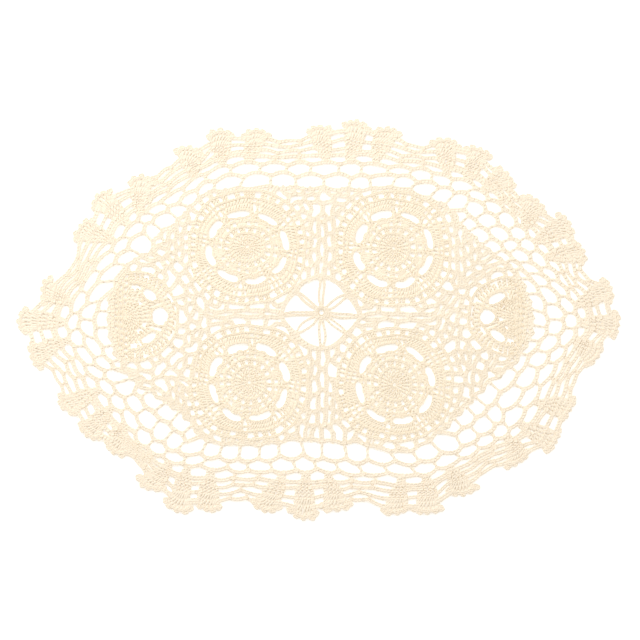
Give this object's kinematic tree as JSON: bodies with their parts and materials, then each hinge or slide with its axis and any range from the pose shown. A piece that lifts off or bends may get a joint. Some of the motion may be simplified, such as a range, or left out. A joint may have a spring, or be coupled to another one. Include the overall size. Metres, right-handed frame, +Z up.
{
  "type": "oval crochet lace doily",
  "caption": "Oval cream cotton doily: joined round crochet medallions, chain net ground and a scalloped picot edging, lying flat.",
  "frame": {"origin": "under the middle of the doily, on the surface it lies on", "axes": "+X along the doily's length to the right, +Y to the back, +Z up"},
  "size_m": [0.38, 0.26, 0.0018],
  "materials": {
    "cotton_medallions": "cream crochet cotton, tightly worked, soft matt with a faint sheen",
    "cotton_net": "cream crochet cotton, open chains, soft matt with a faint sheen",
    "cotton_edging": "cream crochet cotton, net and picot shells, soft matt with a faint sheen"
  },
  "bodies": {
    "root": {"medallion_back_left": "cotton_medallions", "medallion_back_right": "cotton_medallions", "medallion_front_left": "cotton_medallions", "medallion_front_right": "cotton_medallions", "half_medallion_left": "cotton_medallions", "half_medallion_right": "cotton_medallions", "centre_star": "cotton_net", "joining_net": "cotton_net", "net_edging": "cotton_edging"}
  },
  "joints": []
}
